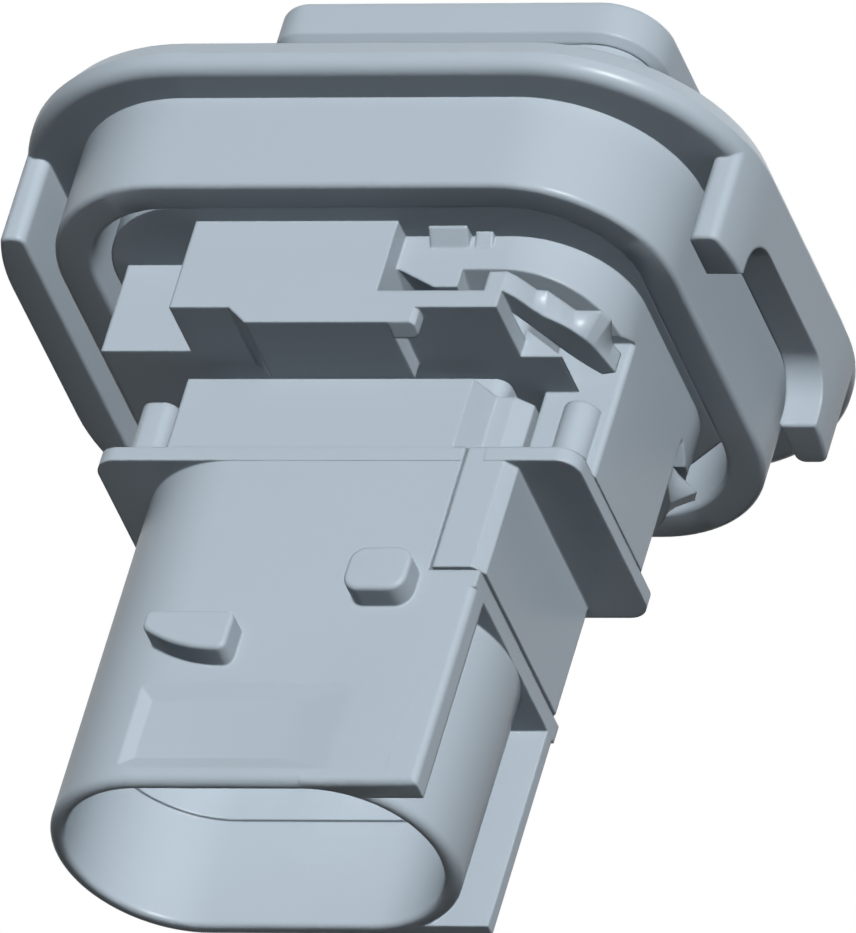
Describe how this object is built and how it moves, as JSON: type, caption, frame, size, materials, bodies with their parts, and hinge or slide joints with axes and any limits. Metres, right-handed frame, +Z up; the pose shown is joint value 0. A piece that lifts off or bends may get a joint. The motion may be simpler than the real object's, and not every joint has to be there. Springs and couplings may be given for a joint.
{
  "type": "rectangular electrical connector",
  "caption": "Sealed panel-mounted power connector: oval mating shroud, sliding side lock, spring-arm frame, mounting flange with raised seal and rear cover.",
  "frame": {"origin": "centre of the connector in the plane of the flange's panel face", "axes": "+X across towards the side lock, -Y along the mating axis towards the mouth, +Z up; the rear cover is at +Y"},
  "size_m": [0.0536, 0.0627, 0.0438],
  "materials": {
    "housing_plastic": "satin moulded",
    "lock_plastic": "satin moulded",
    "frame_plastic": "satin moulded",
    "flange_plastic": "satin moulded",
    "cover_plastic": "satin moulded",
    "carrier_plastic": "satin moulded",
    "panel_seal_rubber": "matt moulded elastomer",
    "inner_seal_rubber": "matt moulded elastomer",
    "tinned_contact": "bright tin over copper alloy"
  },
  "bodies": {
    "housing": {"contact_carrier": "carrier_plastic", "front_housing": "housing_plastic", "housing_seal": "inner_seal_rubber", "interface_gasket": "inner_seal_rubber", "interlock_pin_lower": "tinned_contact", "interlock_pin_upper": "tinned_contact", "latch_frame": "frame_plastic", "mounting_flange": "flange_plastic", "panel_seal": "panel_seal_rubber", "pin_seal_lower": "inner_seal_rubber", "pin_seal_upper": "inner_seal_rubber", "power_tab_left": "tinned_contact", "power_tab_right": "tinned_contact", "rear_cover": "cover_plastic", "seal_retainer": "carrier_plastic", "wire_seal_left": "inner_seal_rubber", "wire_seal_right": "inner_seal_rubber"},
    "lock_slide": {"side_lock": "lock_plastic"}
  },
  "joints": [
    {"name": "side_lock_slide", "type": "slide", "parent": "housing", "child": "lock_slide", "axis": [1, 0, 0], "range_m": [0, 0.003]}
  ]
}
